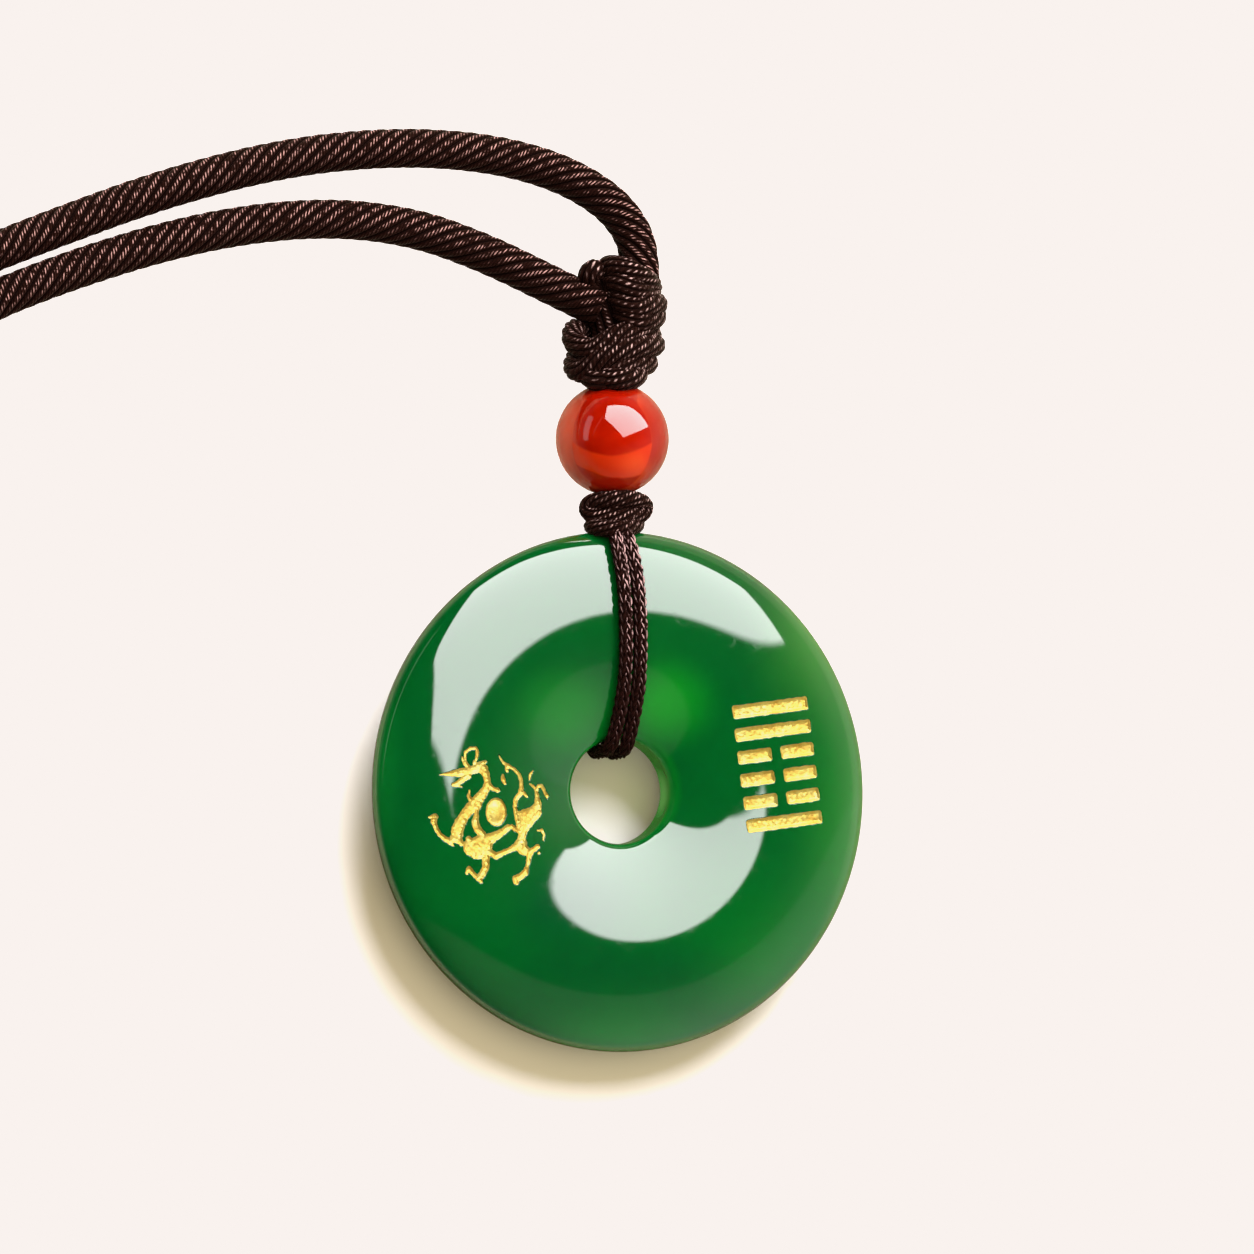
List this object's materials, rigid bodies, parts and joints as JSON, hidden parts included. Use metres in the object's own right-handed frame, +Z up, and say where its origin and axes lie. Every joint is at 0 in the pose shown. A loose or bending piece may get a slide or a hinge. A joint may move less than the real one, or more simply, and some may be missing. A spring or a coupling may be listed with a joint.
{
  "type": "agate pendant necklace",
  "caption": "Round agate ring with a gilt dragon and hexagram engraved in its face, hung from a round agate bead and tied knots on a thick cord loop, laid flat.",
  "frame": {"origin": "on the surface that it lies on, under the middle of the box round the ring, the bead and the knots (the neck cord and its clasp aren't counted)", "axes": "+Z up from the surface; +Y along the pendant, from the ring to the bead and the upper knot; +X to the right as one looks down on the ring's engraved face"},
  "size_m": [0.2099, 0.0975, 0.012],
  "materials": {
    "green_agate": "polished translucent green agate",
    "red_agate": "polished translucent orange-red agate",
    "gilding": "satin gilding in the engraving",
    "brown_cord": "dark brown satin cord, laid and braided",
    "clasp_resin": "plain dark brown barrel"
  },
  "bodies": {
    "root": {"agate_bead": "red_agate", "agate_ring": "green_agate", "bead_cord": "brown_cord", "clasp": "clasp_resin", "gilt_bar_1": "gilding", "gilt_bar_2": "gilding", "gilt_bar_3_left": "gilding", "gilt_bar_3_right": "gilding", "gilt_bar_4_left": "gilding", "gilt_bar_4_right": "gilding", "gilt_bar_5_left": "gilding", "gilt_bar_5_right": "gilding", "gilt_bar_6": "gilding", "gilt_dragon": "gilding", "gilt_flame_1": "gilding", "gilt_flame_2": "gilding", "gilt_flame_3": "gilding", "gilt_flame_4": "gilding", "gilt_pearl": "gilding", "hanging_cord_left": "brown_cord", "hanging_cord_right": "brown_cord", "lower_knot": "brown_cord", "neck_cord": "brown_cord", "upper_knot": "brown_cord"}
  },
  "joints": []
}
